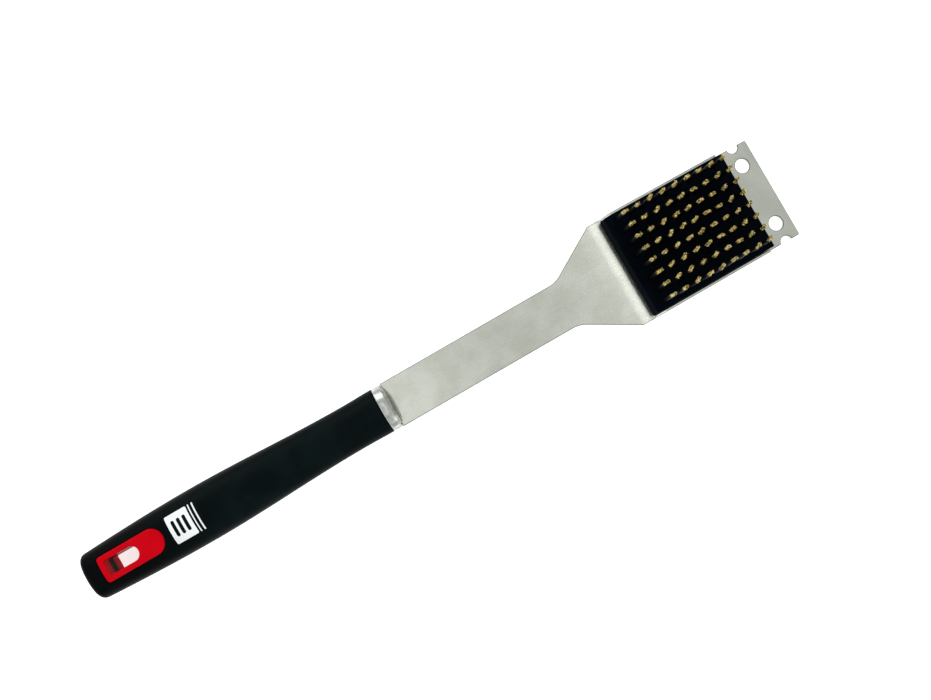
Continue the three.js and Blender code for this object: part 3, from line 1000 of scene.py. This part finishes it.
block = {
    "edge": 0.6,
    "tuftRows": 8,
    "tuftsInRow": 9,
    "tuftFromRear": 6.5,
    "tuftFromFront": 8.8,
    "rowFromSide": 4.3,
    "socketDepth": 7,
    "socketLip": 0.35,  # chamfer round each socket
}
tuft = {
    "bundles": 3,  # wires gather in bundles whose tips part from each other
    "wires": 11,  # in each bundle
    "wireRadius": 0.24,
    "root": (1.35, 1.15),  # half sizes along and across
    "fan": 1.35,  # tip of the outer bundles, from the tuft's middle
    "turn": (0.1, 0.75),  # the fan's direction, radians from the tuft row
    "fanFlat": 0.7,  # the fan's size across the row, as a share of that along it
    "fanStray": 0.25,
    "rootShare": 0.6,  # bundles start within this share of the root
    "rootStray": 0.3,
    "bundleRoot": (0.5, 0.8),  # half sizes of a bundle where it starts
    "bundleTip": 0.9,
    "flare": 1.4,  # a wire leans out as this power of its height
    "lean": (0.3, 0.3),
    "lower": 1.2,  # some bundles stop short by up to this
    "sunk": 3,
    "crimp": 0.14,
    "crimpLength": 3.4,
    "uneven": 0.9,
    "sides": 5,
    "steps": 14,
    "seed": 11,
}


def tuftPlaces():
    low, high = span("bristle_block", headFrame)
    first, last = low[0] + block["tuftFromRear"], high[0] - block["tuftFromFront"]
    return np.linspace(first, last, block["tuftsInRow"])


def rowPlaces():
    low, high = span("bristle_block", headFrame)
    return np.linspace(low[1] + block["rowFromSide"], high[1] - block["rowFromSide"], block["tuftRows"])


def bristleBlock():
    low, high = span("bristle_block", headFrame)
    outline = [(low[0], low[1]), (high[0], low[1]), (high[0], high[1]), (low[0], high[1])]
    body = rounded(prism("bristle_block_body", outline, low[2], high[2]), block["edge"], 4)
    top, lip = high[2], block["socketLip"]
    gap = joints["gap"] / 2
    levels = ((top - block["socketDepth"], gap), (top - lip, gap), (top + 1, gap + lip + 1))
    sockets = None
    for y in rowPlaces():
        for x in tuftPlaces():
            rings = []
            for height, grow in levels:
                halfX, halfY = tuft["root"][0] + grow, tuft["root"][1] + grow
                turns = [2 * math.pi * i / 20 for i in range(20)]
                rings.append([(x + halfX * math.cos(t), y + halfY * math.sin(t), height) for t in turns])
            socket = lofted("socket", rings)
            sockets = carve(sockets, socket, "UNION") if sockets else socket
    return carve(body, sockets)


def wireTube(path, radius, sides, points, faces):
    # a thin tube along a path that mostly climbs, closed at both ends
    start = len(points)
    for x, y, z in path:
        for j in range(sides):
            turn = 2 * math.pi * j / sides
            points.append((x + radius * math.cos(turn), y + radius * math.sin(turn), z))
    for i in range(len(path) - 1):
        for j in range(sides):
            a, b = start + i * sides + j, start + i * sides + (j + 1) % sides
            faces.append((a, b, b + sides, a + sides))
    faces.append(tuple(range(start, start + sides))[::-1])
    faces.append(tuple(range(len(points) - sides, len(points))))


def tuftBundles(rng):
    # where each bundle of a tuft starts and ends, and how far it stops short
    fanTurn = rng.uniform(*tuft["turn"])
    bundles = []
    for i in range(tuft["bundles"]):
        share = 2 * i / (tuft["bundles"] - 1) - 1
        reach = tuft["fan"] * share + rng.uniform(-tuft["fanStray"], tuft["fanStray"])
        ahead, aside = reach * math.cos(fanTurn), reach * math.sin(fanTurn) * tuft["fanFlat"]
        tip = (ahead + tuft["lean"][0], aside + tuft["lean"][1])
        stray = rng.uniform(-tuft["rootStray"], tuft["rootStray"])
        root = (share * tuft["root"][0] * tuft["rootShare"], stray)
        bundles.append((root, tip, rng.uniform(0, tuft["lower"])))
    highest = min(short for *_, short in bundles)
    return [(root, tip, short - highest) for root, tip, short in bundles]


def bristleRow(row, y):
    top = span("bristle_block", headFrame)[1][2]
    highest = span(f"bristle_row_{row + 1}", headFrame)[1][2]
    points, faces = [], []
    stray, (thickX, thickY), full = tuft["fanStray"], tuft["bundleRoot"], tuft["bundleTip"]
    for column, x in enumerate(tuftPlaces()):
        rng = random.Random(tuft["seed"] * 1000 + column * 10)
        bundles = tuftBundles(rng)
        vary = random.Random(row * 100 + column)
        for root, tip, short in bundles:
            tip = (tip[0] + vary.uniform(-stray, stray), tip[1] + vary.uniform(-stray, stray))
            for i in range(tuft["wires"]):
                spread = math.sqrt((i + 0.5) / tuft["wires"])
                turn = i * math.pi * (3 - math.sqrt(5))
                side = (spread * math.cos(turn), spread * math.sin(turn))
                start = (x + root[0] + side[0] * thickX, y + root[1] + side[1] * thickY)
                end = (x + tip[0] + side[0] * full, y + tip[1] + side[1] * full)
                phase, swing = rng.uniform(0, 2 * math.pi), rng.uniform(0, 2 * math.pi)
                finish = highest - short - (rng.uniform(0, tuft["uneven"]) if i else 0)
                path = []
                for k in range(tuft["steps"] + 1):
                    share = k / tuft["steps"]
                    z = top - tuft["sunk"] + (finish - top + tuft["sunk"]) * share
                    up = max((z - top) / (highest - top), 0)
                    swell = tuft["crimp"] * min(up * 4, 1)
                    wave = swell * math.sin(2 * math.pi * z / tuft["crimpLength"] + phase)
                    out = up ** tuft["flare"]
                    px = start[0] + (end[0] - start[0]) * out + wave * math.cos(swing)
                    py = start[1] + (end[1] - start[1]) * out + wave * math.sin(swing)
                    path.append((px, py, z))
                wireTube(path, tuft["wireRadius"], tuft["sides"], points, faces)
    return newObject(f"bristle_row_{row + 1}_wires", points, faces)


screw = {
    "headRadius": 2.8,
    "headHeight": 1.6,
    "headRound": 0.9,
    "flatRadius": 0.6,  # middle of the head's outer face
    "shank": 1.5,
    "tip": 0.2,
    "recessLength": 3,
    "recessWidth": 0.7,
    "recessDepth": 0.9,
}


def blockScrew(number):
    low, high = span(f"block_screw_{number}", headFrame)
    x, y = (low[0] + high[0]) / 2, (low[1] + high[1]) / 2
    head, bottom = screw["headRadius"], low[2]
    seat = bottom + screw["headHeight"]
    bulge, shank = screw["headRound"], screw["shank"]
    profile = [(screw["flatRadius"], bottom)]
    for turn in range(0, 91, 15):
        rad = math.radians(turn)
        profile.append((head - bulge + bulge * math.sin(rad), bottom + bulge * (1 - math.cos(rad))))
    profile += [(head, seat), (shank, seat), (shank, high[2] - shank), (screw["tip"], high[2])]
    rings = [[(px, py, height) for px, py in circle(radius, x, y, 40)] for radius, height in profile]
    body = lofted(f"block_screw_{number}_pan", rings)
    long, wide, deep = screw["recessLength"] / 2, screw["recessWidth"] / 2, screw["recessDepth"]
    for halfX, halfY in ((long, wide), (wide, long)):
        arm = roundedBox((x - halfX, y - halfY), (x + halfX, y + halfY), wide * 0.5, 3)
        body = carve(body, prism("recess", arm, bottom - 1, bottom + deep))
    return body


# Everything is made and set in its frame.

halfTurn = Matrix.Rotation(math.pi, 4, "X")
for level, place in (("upper", toolFrame), ("lower", toolFrame @ halfTurn)):
    shell = handleShell(f"handle_{level}_half")
    finishPiece(shell, place, blackGrip, [f"handle_{level}_shell"])
    ring = hangEye(f"hang_eye_{level}_ring")
    finishPiece(ring, place, redPlastic, [f"hang_eye_{level}"])
finishPiece(printedMark(), toolFrame, whitePrint, [])
print("handle made")
finishPiece(ferruleBand(), toolFrame, polished, ["ferrule"])
finishPiece(ferruleNose(), toolFrame, noseSteel, ["ferrule_nose"])
sheet = finishPiece(steelBlade(), toolFrame, stainless, ["steel_blade"], sharp=25)
sheet.data.materials.append(shadedEdgeSteel)
print("blade and ferrule made")
finishPiece(bristleBlock(), headFrame, blackBlock, ["bristle_block"])
brass = brassFinish(span("bristle_block", headFrame)[1][2])
for row, y in enumerate(rowPlaces()):
    wires = bristleRow(row, y)
    finishPiece(wires, headFrame, brass, [f"bristle_row_{row + 1}"], sharp=60)
for number in range(1, 5):
    finishPiece(blockScrew(number), headFrame, zinc, [f"block_screw_{number}"])
for node in ("tang_pin_front", "tang_pin_rear"):
    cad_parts[node].data.materials.clear()
    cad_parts[node].data.materials.append(zinc)
print("head made")


# Camera, light and floor.

view = {
    "eye": (57.4, -30, 509),  # mm, in the tool frame
    "target": (57.4, -21, 0),
    "up": (0.5, 0.866, 0),
    "lens": 35.02,
    "sensor": 36,
    "shift": (-0.0259, 0.0448),
}
lights = {
    # place in mm in the tool frame, size in mm, power in W
    "left softbox": {"at": (-260, 760, 620), "size": (900, 500), "power": 3.2},
    "right softbox": {"at": (420, -720, 640), "size": (900, 500), "power": 2.4},
    "butt softbox": {"at": (-820, -120, 560), "size": (700, 700), "power": 1.5},
    "head strip": {"at": (455, 60, 900), "size": (90, 500), "power": 0.42},
    "neck strip": {"at": (-90, 60, 900), "size": (110, 500), "power": 0.17},
}
studio = {
    "lampTarget": (60, 0, 0),  # mm, in the tool frame
    "sky": 0.72,
    "floorHalf": 3,  # m
    "floorGlow": 0.7,  # the table is lit from below
}


def toolPoint(x, y, z):
    return toolFrame @ Vector((x * mm, y * mm, z * mm))


def aimed(thing, at, target, up=(0, 0, 1)):
    spot, goal = toolPoint(*at), toolPoint(*target)
    back = (spot - goal).normalized()
    right = Vector(up).cross(back).normalized()
    turned = Matrix((right, back.cross(right), back)).transposed().to_4x4()
    turned.translation = spot
    thing.matrix_world = turned
    bpy.context.scene.collection.objects.link(thing)
    return thing


camera = bpy.data.cameras.new("camera")
camera.lens = view["lens"]
camera.sensor_width = view["sensor"]
camera.shift_x, camera.shift_y = view["shift"]
camera.clip_start, camera.clip_end = 0.01, 20
upward = toolFrame.to_3x3() @ Vector(view["up"])
bpy.context.scene.camera = aimed(
    bpy.data.objects.new("camera", camera), view["eye"], view["target"], upward
)

for name, made in lights.items():
    lamp = bpy.data.lights.new(name, "AREA")
    lamp.shape = "RECTANGLE"
    lamp.size, lamp.size_y = (side * mm for side in made["size"])
    lamp.energy = made["power"]
    box = aimed(bpy.data.objects.new(name, lamp), made["at"], studio["lampTarget"], (0, 1, 0.01))
    box.visible_camera = False

world = bpy.data.worlds.new("studio")
bpy.context.scene.world = world
world.use_nodes = True
world.node_tree.nodes["Background"].inputs["Color"].default_value = (1, 1, 1, 1)
world.node_tree.nodes["Background"].inputs["Strength"].default_value = studio["sky"]
bpy.context.scene.view_settings.view_transform = "Standard"

wide = studio["floorHalf"]
corners = [(-wide, -wide, 0), (wide, -wide, 0), (wide, wide, 0), (-wide, wide, 0)]
floor = newObject("floor", corners, [(0, 1, 2, 3)])
paper = Finish(
    "pale paper",
    {
        "Specular IOR Level": 0.1,
        "Roughness": 0.9,
        "Emission Color": (1, 1, 1, 1),
        "Emission Strength": studio["floorGlow"],
    },
    Matrix(),
)
fibres = paper.noise(paper.place(), 0.8, 3)
floor.data.materials.append(
    paper.set(Base_Color=paper.blend(fibres, (0.87, 0.87, 0.87), (0.9, 0.9, 0.9)))
)
floor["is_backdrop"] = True
print("camera, light and floor set")

[[list(corner) for corner in box] for box in (cadBounds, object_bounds())]
